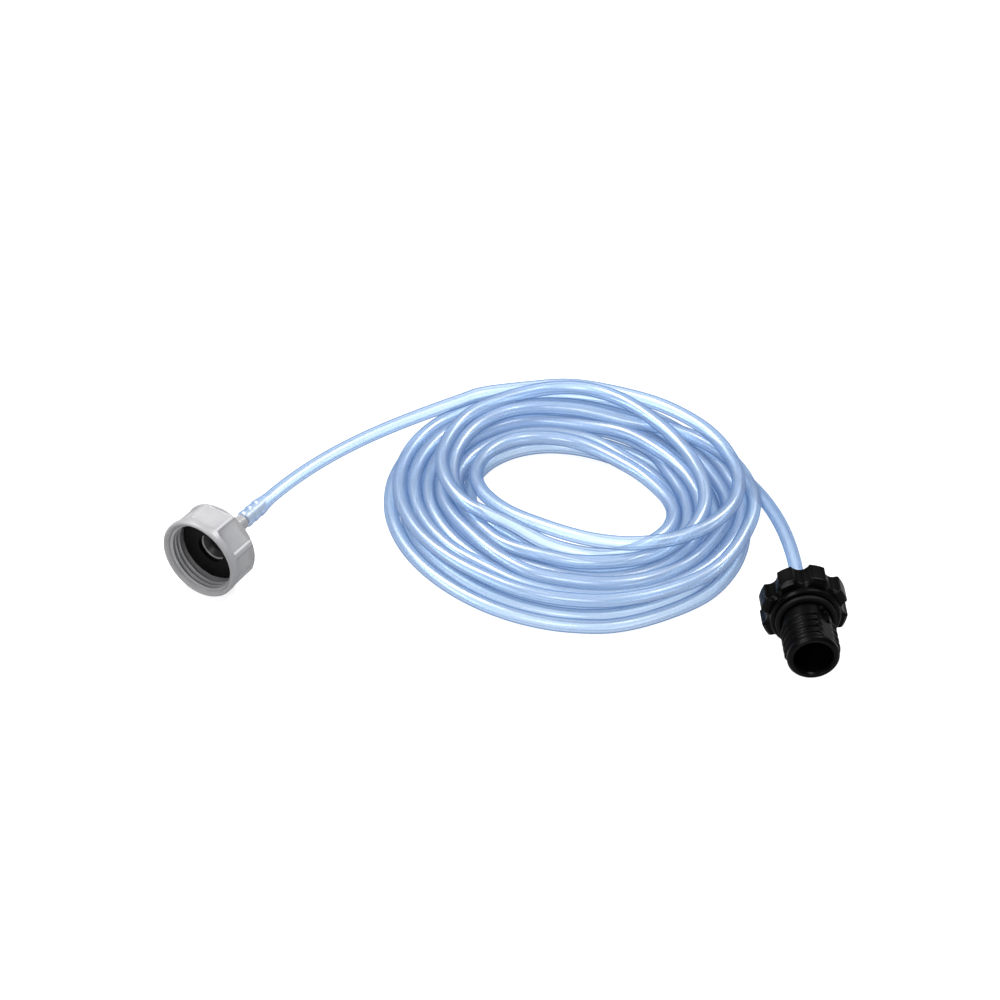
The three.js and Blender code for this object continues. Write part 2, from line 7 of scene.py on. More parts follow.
import bpy
import bmesh
import numpy as np
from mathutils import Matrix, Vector

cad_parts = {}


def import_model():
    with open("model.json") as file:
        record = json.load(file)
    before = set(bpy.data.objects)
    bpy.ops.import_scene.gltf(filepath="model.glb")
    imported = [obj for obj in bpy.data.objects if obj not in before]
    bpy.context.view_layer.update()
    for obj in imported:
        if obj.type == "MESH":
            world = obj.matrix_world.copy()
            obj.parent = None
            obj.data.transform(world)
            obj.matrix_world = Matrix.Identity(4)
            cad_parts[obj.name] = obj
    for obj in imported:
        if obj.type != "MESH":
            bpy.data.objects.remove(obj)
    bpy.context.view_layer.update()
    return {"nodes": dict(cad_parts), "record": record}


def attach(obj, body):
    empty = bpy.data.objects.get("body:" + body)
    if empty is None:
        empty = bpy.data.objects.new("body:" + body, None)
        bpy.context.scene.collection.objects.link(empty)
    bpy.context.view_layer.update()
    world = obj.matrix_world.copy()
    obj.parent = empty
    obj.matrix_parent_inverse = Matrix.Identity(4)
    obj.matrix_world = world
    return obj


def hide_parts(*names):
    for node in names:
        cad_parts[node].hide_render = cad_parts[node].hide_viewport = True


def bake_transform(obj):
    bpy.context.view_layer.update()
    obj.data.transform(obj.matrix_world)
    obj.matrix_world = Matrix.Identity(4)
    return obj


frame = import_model()
MM = 0.001

JOINTS = {j["name"]: j for j in frame["record"]["behaviour"]["joints"]}
JOINT_AT = {name: joint["pos_m"] for name, joint in JOINTS.items() if "pos_m" in joint}


# ------------------------------------------------------------------ places taken from the frame

def axis_frame(origin, ahead):
    """Origin and the three directions of a fitting: side, up and ahead (toward its open end)."""
    ahead = np.array(ahead, float) / np.linalg.norm(ahead)
    side = np.array([-ahead[1], ahead[0], 0.0])
    return np.array(origin, float), side / np.linalg.norm(side), np.array([0, 0, 1.0]), ahead


# a fitting's millimetres count from its nut's joint: the tap nut's mouth is at 0, and so is the
# face of the lobed nut that the spigot's barrel comes out of
TAP = axis_frame(JOINT_AT["union_nut_turn"], JOINTS["union_nut_turn"]["axis"])
SPIGOT = axis_frame(JOINT_AT["lobed_nut_turn"], [-c for c in JOINTS["lobed_nut_turn"]["axis"]])


def put(local, place):
    """A fitting's own millimetres (side, up, ahead) to metres in the shared frame."""
    origin, side, up, ahead = place
    p = np.asarray(local, float) * MM
    return origin + p[:, :1] * side + p[:, 1:2] * up + p[:, 2:3] * ahead


# ------------------------------------------------------------------ meshes

def new_object(name, verts, faces, material, uvs=None):
    """A smooth-shaded object at the origin, with one material and one UV pair per face corner."""
    mesh = bpy.data.meshes.new(name)
    mesh.from_pydata([tuple(v) for v in verts], [], faces)
    mesh.materials.append(material)
    if uvs is not None:
        layer = mesh.uv_layers.new(name="along")
        layer.data.foreach_set("uv", np.asarray(uvs, np.float32).ravel())
    mesh.shade_smooth()
    obj = bpy.data.objects.new(name, mesh)
    bpy.context.scene.collection.objects.link(obj)
    return obj


def outward(obj):
    """Merge doubled points and turn every face outward."""
    bm = bmesh.new()
    bm.from_mesh(obj.data)
    bmesh.ops.remove_doubles(bm, verts=bm.verts, dist=1e-7)
    bmesh.ops.recalc_face_normals(bm, faces=bm.faces)
    bm.to_mesh(obj.data)
    bm.free()
    return obj


SHARPEST_HALF, FLATTEST_HALF = 0.05, 1.55  # half angles of the corners that can be rounded
SIDE_SHARE = 0.48  # the most of a side that one corner's rounding may take


def fillet(points, steps=4):
    """Round the corners of a closed outline of (r, z, radius) triples; gives (r, z) pairs."""
    out = []
    n = len(points)
    for i, (r, z, rad) in enumerate(points):
        p = np.array([r, z], float)
        a = np.array(points[i - 1][:2], float) - p
        b = np.array(points[(i + 1) % n][:2], float) - p
        la, lb = np.linalg.norm(a), np.linalg.norm(b)
        a, b = a / la, b / lb
        half = math.acos(max(-1.0, min(1.0, float(a @ b)))) / 2
        if half < SHARPEST_HALF or half > FLATTEST_HALF:
            out.append(p)
            continue
        reach = min(rad / math.tan(half), la * SIDE_SHARE, lb * SIDE_SHARE)
        s, e = p + a * reach, p + b * reach
        for t in np.linspace(0, 1, steps + 1):
            out.append((1 - t) ** 2 * s + 2 * t * (1 - t) * p + t * t * e)
    return [tuple(p) for p in out]


def refine(points, step):
    """Cut long sides of a closed outline so that no side is longer than step."""
    out = []
    for i, point in enumerate(points):
        a, b = np.array(point, float), np.array(points[(i + 1) % len(points)], float)
        cuts = max(1, int(math.ceil(np.linalg.norm(b - a) / step)))
        out += [tuple(a + (b - a) * k / cuts) for k in range(cuts)]
    return out


def revolve(name, outline, sides, place, material, shape=None):
    """Revolve a closed (r, z) outline about an axis; shape(r, z, angle) gives new radii."""
    r = np.array([p[0] for p in outline], float)[:, None]
    z = np.array([p[1] for p in outline], float)[:, None]
    angle = np.linspace(0, 2 * math.pi, sides, endpoint=False)[None, :]
    r, z, angle = np.broadcast_arrays(r, z, angle)
    if shape is not None:
        r = shape(r, z, angle)
    local = np.stack([r * np.cos(angle), r * np.sin(angle), z], -1).reshape(-1, 3)
    rows = len(outline)
    faces = []
    for i in range(rows):
        j = (i + 1) % rows
        for k in range(sides):
            m = (k + 1) % sides
            faces.append((i * sides + k, i * sides + m, j * sides + m, j * sides + k))
    return outward(new_object(name, put(local, place), faces, material))


def smooth_step(x, low, high):
    """0 below low, 1 above high, and an S curve between."""
    t = np.clip((x - low) / (high - low), 0, 1)
    return t * t * (3 - 2 * t)


def soft_min(a, b, width):
    """The smaller of two values, with the change from one to the other rounded over width."""
    h = np.clip(0.5 + 0.5 * (b - a) / width, 0, 1)
    return b * (1 - h) + a * h - width * h * (1 - h)


def wrap(angle, period):
    """Distance to the nearest multiple of period, with its sign."""
    return (angle + period / 2) % period - period / 2


def thread(z, angle, pitch, start, width, crest):
    """1 on the crest of a right-handed ridge and 0 in its groove."""
    phase = wrap(z - start - pitch * angle / (2 * math.pi), pitch)
    return 1 - smooth_step(np.abs(phase), crest / 2, width / 2)


# ------------------------------------------------------------------ materials

def material(name):
    """An empty node material with a Principled shader on its output."""
    mat = bpy.data.materials.new(name)
    mat.use_nodes = True
    nodes, links = mat.node_tree.nodes, mat.node_tree.links
    nodes.clear()
    out = nodes.new("ShaderNodeOutputMaterial")
    bsdf = nodes.new("ShaderNodeBsdfPrincipled")
    links.new(bsdf.outputs[0], out.inputs["Surface"])
    return mat, nodes, links, bsdf, out


def noise(nodes, links, scale, detail, vector):
    n = nodes.new("ShaderNodeTexNoise")
    n.inputs["Scale"].default_value = scale
    n.inputs["Detail"].default_value = detail
    links.new(vector, n.inputs["Vector"])
    return n


def grey(value):
    return (value,) * 3


def ramp(nodes, links, source, stops):
    """A colour ramp over source, from (position, colour) stops."""
    r = nodes.new("ShaderNodeValToRGB")
    r.color_ramp.elements[0].position = stops[0][0]
    r.color_ramp.elements[0].color = (*stops[0][1], 1)
    r.color_ramp.elements[1].position = stops[-1][0]
    r.color_ramp.elements[1].color = (*stops[-1][1], 1)
    for at, colour in stops[1:-1]:
        e = r.color_ramp.elements.new(at)
        e.color = (*colour, 1)
    links.new(source, r.inputs["Fac"])
    return r


def multiply(nodes, links, first, second):
    """Two colours multiplied; gives the output socket."""
    mix = nodes.new("ShaderNodeMix")
    mix.data_type = "RGBA"
    mix.blend_type = "MULTIPLY"
    mix.inputs["Factor"].default_value = 1.0
    links.new(first.outputs["Color"], mix.inputs["A"])
    links.new(second.outputs["Color"], mix.inputs["B"])
    return mix.outputs["Result"]


def bump(nodes, links, bsdf, height, strength, distance):
    b = nodes.new("ShaderNodeBump")
    b.inputs["Strength"].default_value = strength
    b.inputs["Distance"].default_value = distance
    links.new(height, b.inputs["Height"])
    links.new(b.outputs["Normal"], bsdf.inputs["Normal"])
    return b


PLASTIC_IOR = 1.5
PAINTED_SHADE_REACH = 14  # millimetres to the walls that cast the painted shade in a hollow
GRAIN_STRENGTH = 0.35


def moulded(name, dark, light, rough, grain, bump_mm, shine):
    """Moulded plastic: fine pimpled grain, slow colour change, patchy gloss, and painted shade that
    darkens its hollows.
    """
    mat, nodes, links, bsdf, _ = material(name)
    place = nodes.new("ShaderNodeTexCoord").outputs["Object"]
    broad = noise(nodes, links, 60, 4, place)
    fine = noise(nodes, links, grain, 2, place)
    colour = ramp(nodes, links, broad.outputs["Fac"], [(0.35, dark), (0.65, light)])
    # painted shade: occlusion by the part's own walls darkens the base colour in hollows and
    # creases
    shade_probe = nodes.new("ShaderNodeAmbientOcclusion")
    shade_probe.samples = 6
    shade_probe.only_local = True
    shade_probe.inputs["Distance"].default_value = PAINTED_SHADE_REACH * MM
    painted_shade_stops = [(0.12, grey(0.05)), (0.28, grey(0.40)), (0.46, grey(1.0))]
    painted_shade = ramp(nodes, links, shade_probe.outputs["AO"], painted_shade_stops)
    links.new(multiply(nodes, links, colour, painted_shade), bsdf.inputs["Base Color"])
    patches = [(0.3, grey(rough[0])), (0.7, grey(rough[1]))]
    gloss = ramp(nodes, links, broad.outputs["Fac"], patches)
    links.new(gloss.outputs["Color"], bsdf.inputs["Roughness"])
    bsdf.inputs["IOR"].default_value = PLASTIC_IOR
    bsdf.inputs["Specular IOR Level"].default_value = shine
    bump(nodes, links, bsdf, fine.outputs["Fac"], GRAIN_STRENGTH, bump_mm * MM)
    return mat


VINYL_PALE = (0.58, 0.70, 0.83)  # milk in the wall where it faces the camera
VINYL_RIM = (0.17, 0.28, 0.47)  # and where it is seen edge on
VINYL_PAINTED_GLOW = 0.50  # painted glow of the milky wall, standing in for light scattered about inside it
VINYL_GLOSS_LIMIT = 0.21
DRAW_LINES = (9.0, 35.0, 1.0)  # noise round and along the hose, for the lines of its extrusion


def clear_vinyl(name, clear, edge, haze, shine):
    """Clear blue hose: see-through with darker rims, a little milky with a painted glow, and a
    gloss over it.
    """
    mat, nodes, links, bsdf, out = material(name)
    uv = nodes.new("ShaderNodeUVMap")
    uv.uv_map = "along"
    lines = nodes.new("ShaderNodeMapping")
    lines.inputs["Scale"].default_value = DRAW_LINES
    links.new(uv.outputs["UV"], lines.inputs["Vector"])
    streak = noise(nodes, links, 3.0, 3, lines.outputs["Vector"])
    cloud = noise(nodes, links, 25, 3, nodes.new("ShaderNodeTexCoord").outputs["Object"])
    facing = nodes.new("ShaderNodeLayerWeight")
    facing.inputs["Blend"].default_value = 0.5
    rim = ramp(nodes, links, facing.outputs["Facing"], [(0.22, clear), (0.66, edge)])
    wash = ramp(nodes, links, cloud.outputs["Fac"], [(0.3, (0.94, 0.97, 1.0)), (0.7, (1, 1, 1))])
    see = nodes.new("ShaderNodeBsdfTransparent")
    links.new(multiply(nodes, links, rim, wash), see.inputs["Color"])

    milk = ramp(nodes, links, facing.outputs["Facing"], [(0.26, VINYL_PALE), (0.63, VINYL_RIM)])
    links.new(milk.outputs["Color"], bsdf.inputs["Base Color"])
    bsdf.inputs["Roughness"].default_value = 0.45
    bsdf.inputs["Specular IOR Level"].default_value = 0.0
    # painted glow: the milk colour is also emitted, as a stand-in for light scattered inside the
    # wall
    links.new(milk.outputs["Color"], bsdf.inputs["Emission Color"])
    bsdf.inputs["Emission Strength"].default_value = VINYL_PAINTED_GLOW
    body = nodes.new("ShaderNodeMixShader")
    thickness = [(0.25, grey(haze[0])), (0.85, grey(haze[1]))]
    thick = ramp(nodes, links, facing.outputs["Facing"], thickness)
    links.new(thick.outputs["Color"], body.inputs["Fac"])
    links.new(see.outputs[0], body.inputs[1])
    links.new(bsdf.outputs[0], body.inputs[2])

    gloss = nodes.new("ShaderNodeBsdfGlossy")
    rough = ramp(nodes, links, streak.outputs["Fac"], [(0.3, grey(0.24)), (0.75, grey(0.40))])
    links.new(rough.outputs["Color"], gloss.inputs["Roughness"])
    normal = bump(nodes, links, bsdf, streak.outputs["Fac"], 0.06, 0.1 * MM)
    links.new(normal.outputs["Normal"], gloss.inputs["Normal"])
    fresnel = nodes.new("ShaderNodeFresnel")
    fresnel.inputs["IOR"].default_value = PLASTIC_IOR
    amount = nodes.new("ShaderNodeMath")
    amount.operation = "MULTIPLY"
    amount.use_clamp = True
    amount.inputs[1].default_value = shine
    limit = nodes.new("ShaderNodeMath")
    limit.operation = "MINIMUM"
    limit.inputs[1].default_value = VINYL_GLOSS_LIMIT
    links.new(fresnel.outputs["Fac"], amount.inputs[0])
    links.new(amount.outputs[0], limit.inputs[0])
    mix = nodes.new("ShaderNodeMixShader")
    links.new(limit.outputs[0], mix.inputs["Fac"])
    links.new(body.outputs[0], mix.inputs[1])
    links.new(gloss.outputs[0], mix.inputs[2])
    links.new(mix.outputs[0], out.inputs["Surface"])
    return mat


# the hose's outside, its bore, and the ends that its barbs stretch
VINYL = clear_vinyl(
    "clear_blue_vinyl", (0.85, 0.905, 0.965), (0.43, 0.55, 0.71), (0.17, 0.38), 1.8
)
VINYL_BORE = clear_vinyl(
    "clear_blue_vinyl_bore", (0.95, 0.975, 0.99), (0.62, 0.72, 0.84), (0.03, 0.22), 0.8
)
VINYL_STRETCHED = clear_vinyl(
    "clear_blue_vinyl_stretched", (0.78, 0.84, 0.94), (0.36, 0.42, 0.58), (0.30, 0.66), 1.8
)
GREY = moulded(
    "grey_moulded", (0.265, 0.265, 0.275), (0.325, 0.325, 0.335), (0.30, 0.42), 900, 0.05, 0.4
)
# the grey plastic painted near black: painted shade for the inside of the tail's bore
GREY_PAINTED_SHADE = moulded("grey_painted_shade", grey(0.02), grey(0.04), (0.3, 0.45), 900, 0.05, 0.2)
BLACK = moulded("black_moulded", grey(0.0010), grey(0.0022), (0.24, 0.34), 800, 0.05, 0.08)
RUBBER = moulded("black_rubber", grey(0.003), grey(0.006), (0.45, 0.65), 1200, 0.06, 0.10)


# ------------------------------------------------------------------ hose

HOSE_OUTER, HOSE_BORE = 3.0, 2.0  # radii of the hose, in millimetres
OUTER_SIDES, BORE_SIDES = 18, 12
HOSE_ON_SPIGOT, HOSE_ON_TAP = 11.0, 32.6  # where the hose ends, behind each fitting's zero
STRAIGHT_ON_BARB = 18  # millimetres of hose on the spigot's barb that are drawn straight
NEAR_SPIGOT = 60  # the coil also passes behind the spigot, farther away than this
STRETCHED = 16  # millimetres of hose at either end that its barb stretches
RING_REACH = 4.6  # every point of an end ring is closer to its joint than this, in millimetres


def ring_centres(node, near):
    """Centre line of a hose node, from the rings of its mesh, starting at the end close to near."""
    bm = bmesh.new()
    bm.from_mesh(frame["nodes"][node].data)
    bmesh.ops.remove_doubles(bm, verts=bm.verts, dist=2e-6)
    near = Vector(near)
    close = {v for v in bm.verts if (v.co - near).length < RING_REACH * MM}
    # the nearest point's own ring: a neighbouring turn may be as close, but no edge leads to it
    ring, edge = set(), {min(close, key=lambda v: (v.co - near).length)}
    while edge:
        ring |= edge
        edge = {e.other_vert(v) for v in edge for e in v.link_edges} & close - ring
    seen = set(ring)
    size = len(ring)
    centres = []
    while len(ring) == size:
        centres.append(np.mean([v.co[:] for v in ring], axis=0))
        ring = {e.other_vert(v) for v in ring for e in v.link_edges} - seen
        seen |= ring
    bm.free()
    return centres


def hose_line():
    """The whole hose from its end on the spigot's barb to its end on the tap tail, in metres."""
    parts = [
        ring_centres("hose_adaptor_lead_outer", JOINT_AT["adaptor_lead_lift"])[::-1],
        ring_centres("hose_adaptor_lead_inner", JOINT_AT["adaptor_lead_swing"])[::-1],
        ring_centres("hose_coil", JOINT_AT["adaptor_lead_swing"]),
        ring_centres("hose_tap_lead_inner", JOINT_AT["tap_lead_swing"]),
        ring_centres("hose_tap_lead_outer", JOINT_AT["tap_lead_lift"]),
    ]
    line = np.array([p for part in parts for p in part])
    spigot_end = SPIGOT[0] - SPIGOT[3] * HOSE_ON_SPIGOT * MM
    tap_end = TAP[0] - TAP[3] * HOSE_ON_TAP * MM
    behind = (line - spigot_end) @ -SPIGOT[3]
    near = np.linalg.norm(line - spigot_end, axis=1) <= NEAR_SPIGOT * MM
    line = line[~(near & (behind >= 0) & (behind <= STRAIGHT_ON_BARB * MM))]
    head = [spigot_end - SPIGOT[3] * d * MM for d in (0, 5, 10, 15)]
    tail = [tap_end - TAP[3] * d * MM for d in (15, 10, 5, 0)]
    return np.vstack([head, line, tail])


def spline(points, spacing):
    """Catmull-Rom curve through points (centripetal), cut about every spacing metres."""
    p = np.vstack([2 * points[0] - points[1], points, 2 * points[-1] - points[-2]])
    out = []
    for i in range(1, len(p) - 2):
        knots = [0.0]
        for a, b in zip(p[i - 1 : i + 2], p[i : i + 3]):
            knots.append(knots[-1] + math.sqrt(max(np.linalg.norm(b - a), 1e-6)))
        t0, t1, t2, t3 = knots
        count = max(1, int(round(np.linalg.norm(p[i + 1] - p[i]) / spacing)))
        for t in np.linspace(t1, t2, count, endpoint=False):
            a1 = (t1 - t) / (t1 - t0) * p[i - 1] + (t - t0) / (t1 - t0) * p[i]
            a2 = (t2 - t) / (t2 - t1) * p[i] + (t - t1) / (t2 - t1) * p[i + 1]
            a3 = (t3 - t) / (t3 - t2) * p[i + 1] + (t - t2) / (t3 - t2) * p[i + 2]
            b1 = (t2 - t) / (t2 - t0) * a1 + (t - t0) / (t2 - t0) * a2
            b2 = (t3 - t) / (t3 - t1) * a2 + (t - t1) / (t3 - t1) * a3
            out.append((t2 - t) / (t2 - t1) * b1 + (t - t1) / (t2 - t1) * b2)
    out.append(points[-1])
    return np.array(out)


def carried_frames(line):
    """Tangent and two cross directions at every point, carried along without twist."""
    tangent = np.gradient(line, axis=0)
    tangent /= np.linalg.norm(tangent, axis=1)[:, None]
    first = np.cross(tangent[0], [0, 0, 1.0])
    first /= np.linalg.norm(first)
    sides = [first]
    for i in range(1, len(line)):
        v = sides[-1] - tangent[i] * (sides[-1] @ tangent[i])
        sides.append(v / np.linalg.norm(v))
    sides = np.array(sides)
    return sides, np.cross(tangent, sides)


BARBS, BARB_PITCH = 3, 4.4


def barb_swell(distance, stem):
    """How far a barbed stem pushes the hose outward, in millimetres, at a distance from its end."""
    swell = 0.45 * (1 - smooth_step(distance, stem - 3.0, stem + 4.5))
    for k in range(BARBS):
        past_top = distance - (1.1 + BARB_PITCH * k)
        slope = np.clip(1 - (past_top + 0.1) / BARB_PITCH, 0, 1) * smooth_step(past_top, -0.6, 0.1)
        on_barb = (past_top > -0.6) & (past_top < BARB_PITCH - 0.6)
        swell = swell + 0.5 * np.where(on_barb, slope, 0)
    return swell


def barbed_stem(stop):
    """Outline of a barbed stem behind its stop, as far as the edge of its bore."""
    stem = []
    for k in range(BARBS):
        top = stop - 1.2 - BARB_PITCH * k
        stem += [(1.9, top, 0.15), (2.38, top - 0.45, 0.12), (1.9, top - 4.0, 0.2)]
    end = stop - 1.6 - 13.2
    return [*stem, (1.75, end, 0.1), (1.3, end, 0.1)]


def bridge(outer, inner):
    """Triangles between two rings of different count that start at the same angle."""
    i = k = 0
    out = []
    n0, n1 = len(outer), len(inner)
    while i < n0 or k < n1:
        if k >= n1 or (i < n0 and (i + 1) / n0 <= (k + 1) / n1):
            out.append((outer[i % n0], outer[(i + 1) % n0], inner[k % n1]))
            i += 1
        else:
            out.append((outer[i % n0], inner[(k + 1) % n1], inner[k % n1]))
            k += 1
    return out


BORE_SWELL = 1.05  # the bore widens a little more than the outside, so the wall thins


def tube(name, first, last, replaces, caps=(False, False)):
    """A stretch of the hose as a hollow tube between two indices of the common centre line.

    caps says which of its ends are closed by a ring-shaped face between outside and bore.
    """
    idx = np.arange(first, last + 1)
    centre, a, b = LINE[idx], SIDE[idx], UP[idx]
    along = RUN[idx]
    outer_r = (HOSE_OUTER + FULLNESS[idx] + SWELL[idx]) * MM
    inner_r = (HOSE_BORE + SWELL[idx] * BORE_SWELL) * MM
    verts, faces, uvs = [], [], []
    start = 0
    walls = []
    for radius, sides, sign in ((outer_r, OUTER_SIDES, 1), (inner_r, BORE_SIDES, -1)):
        angle = np.linspace(0, 2 * math.pi, sides, endpoint=False)
        across = np.cos(angle)[None, :, None] * a[:, None, :]
        across = across + np.sin(angle)[None, :, None] * b[:, None, :]
        ring = centre[:, None, :] + radius[:, None, None] * across
        verts.append(ring.reshape(-1, 3))
        for i in range(len(idx) - 1):
            for k in range(sides):
                m = (k + 1) % sides
                quad = [
                    start + i * sides + k,
                    start + i * sides + m,
                    start + (i + 1) * sides + m,
                    start + (i + 1) * sides + k,
                ]
                corner = [
                    (k / sides, along[i]),
                    ((k + 1) / sides, along[i]),
                    ((k + 1) / sides, along[i + 1]),
                    (k / sides, along[i + 1]),
                ]
                faces.append(quad if sign > 0 else quad[::-1])
                uvs += corner if sign > 0 else corner[::-1]
        walls.append((start, sides))
        start += len(idx) * sides
    for end, wanted in enumerate(caps):
        if not wanted:
            continue
        row = 0 if end == 0 else len(idx) - 1
        outer, inner = ([s + row * sides + k for k in range(sides)] for s, sides in walls)
        for f in bridge(outer, inner):
            faces.append(f if end == 1 else f[::-1])
            uvs += [(0.5, along[row])] * len(f)
    obj = new_object(name, np.vstack(verts), faces, VINYL, uvs)
    obj.data.materials.append(VINYL_BORE)
    obj.data.materials.append(VINYL_STRETCHED)
    bore_start = walls[1][0]
    for polygon in obj.data.polygons:
        lowest = min(polygon.vertices)
        at = RUN_MM[first + min(lowest // OUTER_SIDES, len(idx) - 1)]
        stretched = min(at, RUN_MM[-1] - at) < STRETCHED
        polygon.material_index = 1 if lowest >= bore_start else 2 * int(stretched)
    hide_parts(*replaces)
    return obj


TURNS_APART = 6.3 * MM  # centre to centre, where two turns touch
SAME_LAYER = 3.2 * MM  # the most that two turns of one layer differ in height
WIDEST_GAP = 3.0 * MM  # wider gaps between turns are left open
SNUG_ROUNDS, SNUG_SHARE = 6, 0.3
SAME_TURN = 20  # points this close in number belong to one turn
# numbers of points from the spigot's end and from the tap's end: held still, and wholly free
SPIGOT_HELD, SPIGOT_FREE = 60, 110
TAP_HELD, TAP_FREE = 70, 120
SNUG_BLUR = 19  # points over which a sideways move is smoothed


def snug(line):
    """Draw neighbouring turns of one layer sideways until they touch."""
    p = line.copy()
    n = len(p)
    index = np.arange(n)
    step = np.abs(index[:, None] - index[None, :])
    free = smooth_step(index, SPIGOT_HELD, SPIGOT_FREE)
    free = free * smooth_step(n - index, TAP_HELD, TAP_FREE)
    hub = np.mean(p[SPIGOT_FREE:-TAP_FREE, :2], axis=0)
    kernel = np.hanning(SNUG_BLUR)
    kernel /= kernel.sum()
    for _ in range(SNUG_ROUNDS):
        out = p[:, :2] - hub
        radius = np.linalg.norm(out, axis=1)
        product = p @ p.T
        square = np.diag(product)
        apart = np.sqrt(np.clip(square[:, None] + square[None, :] - 2 * product, 0, None))
        level = np.abs(p[:, None, 2] - p[None, :, 2]) < SAME_LAYER
        apart = np.where((step > SAME_TURN) & level, apart, 1.0)
        farther = radius[None, :] > radius[:, None]
        move = np.zeros(n)
        for side, sign in ((farther, 1.0), (~farther, -1.0)):
            gap = np.where(side, apart, 1.0).min(axis=1) - TURNS_APART
            move += sign * SNUG_SHARE * np.clip(gap, 0, None) * (gap < WIDEST_GAP)
        move = np.convolve(move, kernel, mode="same") * free
        p[:, :2] += out / radius[:, None] * move[:, None]
    return p


def densify_ends(line, reach, spacing):
    """Short steps near both ends, where the barbs push the hose out.

    Gives the points and their distances along the hose.
    """
    run = np.concatenate([[0], np.cumsum(np.linalg.norm(np.diff(line, axis=0), axis=1))])
    total = run[-1]
    first = np.arange(0, reach, spacing)
    middle = run[(run > reach) & (run < total - reach)]
    last = np.arange(total - reach, total, spacing)
    want = np.concatenate([first, middle, last, [total]])
    return np.stack([np.interp(want, run, line[:, k]) for k in range(3)], 1), want


# the common centre line: points, distance along, and cross directions
LINE, RUN = densify_ends(snug(spline(hose_line(), 2.2 * MM)), 20 * MM, 0.5 * MM)
SIDE, UP = carried_frames(LINE)
RUN_MM = RUN / MM
LEFT_MM = RUN_MM[-1] - RUN_MM
# the turns of the coil are drawn a little full, so that neighbours meet
FULLNESS = 0.14 * smooth_step(RUN_MM, 70, 130) * smooth_step(LEFT_MM, 90, 150)
SPIGOT_STEM, TAP_STEM = 14, 15
SWELL = barb_swell(RUN_MM, SPIGOT_STEM) + barb_swell(LEFT_MM, TAP_STEM)


def index_near(point, low, high):
    """Index on the centre line closest to a point, within a stretch of the line."""
    d = np.linalg.norm(LINE[low:high] - np.array(point), axis=1)
    return low + int(np.argmin(d))


SPIGOT_LEAD, TAP_LEAD = 0.16, 0.18  # metres from either end that hold that end's joints


def hose_pieces():
    """Cut the hose into pieces where its bodies meet, one for the stretch about each bend.

    Lengths in here are millimetres along the hose, from a joint toward the tap.
    """
    n = len(LINE)
    early = int(np.searchsorted(RUN, SPIGOT_LEAD))
    late = int(np.searchsorted(RUN, RUN[-1] - TAP_LEAD))
    a_lift = index_near(JOINT_AT["adaptor_lead_lift"], 0, early)
    a_swing = index_near(JOINT_AT["adaptor_lead_swing"], 0, early)
    t_swing = index_near(JOINT_AT["tap_lead_swing"], late, n)
    t_lift = index_near(JOINT_AT["tap_lead_lift"], late, n)

    def away(i, mm):
        return int(np.searchsorted(RUN, RUN[i] + mm * MM))

    def bend_over(piece):
        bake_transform(piece)

    a_seam = (a_lift + a_swing) // 2
    t_seam = (t_lift + t_swing) // 2
    a_coil = away(a_swing, 15)
    t_coil = away(t_swing, -17)
    end = tube("clear_hose_adaptor_end", 0, a_seam, ["hose_adaptor_lead_outer"], (True, False))
    bend_over(end)
    bend = tube("clear_hose_adaptor_bend", a_seam, a_coil, ["hose_adaptor_lead_inner"])
    bend_over(bend)
    coil = tube("clear_hose_coil", a_coil, t_coil, ["hose_coil"])
    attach(coil, "coil")
    bend = tube("clear_hose_tap_bend", t_coil, t_seam, ["hose_tap_lead_inner"])
    bend_over(bend)
    end = tube("clear_hose_tap_end", t_seam, n - 1, ["hose_tap_lead_outer"], (False, True))
    bend_over(end)


hose_pieces()


# ------------------------------------------------------------------ tap coupling

def stand_for(piece, node, body):
    """The piece takes a CAD node's place, and moves with a body."""
    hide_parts(node)
    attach(piece, body)


RIB_START = math.radians(-25)
EIGHTH = math.pi / 4
COLLAR = 18.7  # radius of the nut's round collar
NUT_BORE = 16.2
WASHER_FACE = -9.3  # front face of the washer, where the nut's thread ends
ON_WALL = 0.02  # a point this close to a wall's radius is on the wall


def nut_outer(r, z, angle):
    """Octagonal body between raised corner ribs, behind a round collar."""
    off = np.abs(wrap(angle - RIB_START, EIGHTH))
    arc = off * 18.0
    panel = np.minimum(16.8 / np.cos(math.pi / 8 - off), 17.5)
    rib = 18.68 - 0.35 * np.clip((-z - 3) / 13, 0, 1)
    body = rib + (panel - rib) * smooth_step(arc, 0.95, 1.6)
    panel_start = 3.0 + 0.9 * (1 - np.clip((arc - 1.6) / 2.2, 0, 1)) ** 2
    front = smooth_step(-z, panel_start, 4.6)
    back = 1 - smooth_step(-z, 15.4, 16.6) * 0.35
    body = COLLAR + (body - COLLAR) * front * back
    return np.where((r > 17.2) & (z < -1.2) & (z > -16.2), np.minimum(r, body), r)


def nut_shape(r, z, angle):
    """The outer body, and a pipe thread in the bore in front of the washer."""
    outer = nut_outer(r, z, angle)
    fade = smooth_step(-z, 1.5, 2.4) * (1 - smooth_step(-z, 8.2, 9.0))
    cut = 1.15 * thread(z, angle, 2.31, -1.6, 1.5, 0.3) * fade
    bore = (np.abs(r - NUT_BORE) < ON_WALL) & (z > WASHER_FACE)
    return np.where(bore, r - cut, outer)


def tap_nut():
    outline = fillet(
        [
            (NUT_BORE, -1.4, 1.0),
            (17.3, 0, 1.0),
            (18.1, 0, 0.4),
            (COLLAR, -0.9, 0.9),
            (COLLAR, -15.9, 0.8),
            (17.0, -17.0, 1.2),
            (5.5, -17.0, 0.4),
            (5.5, -14.2, 0.3),
            (NUT_BORE, -14.2, 0.6),
        ]
    )
    nut = revolve("tap_nut_body", refine(outline, 0.22), 288, TAP, GREY, nut_shape)
    stand_for(nut, "tap_union_nut", "tap_nut")


PAINTED_SHADE_RADIUS = 6.1  # the tail's bore is painted in shade out to this radius
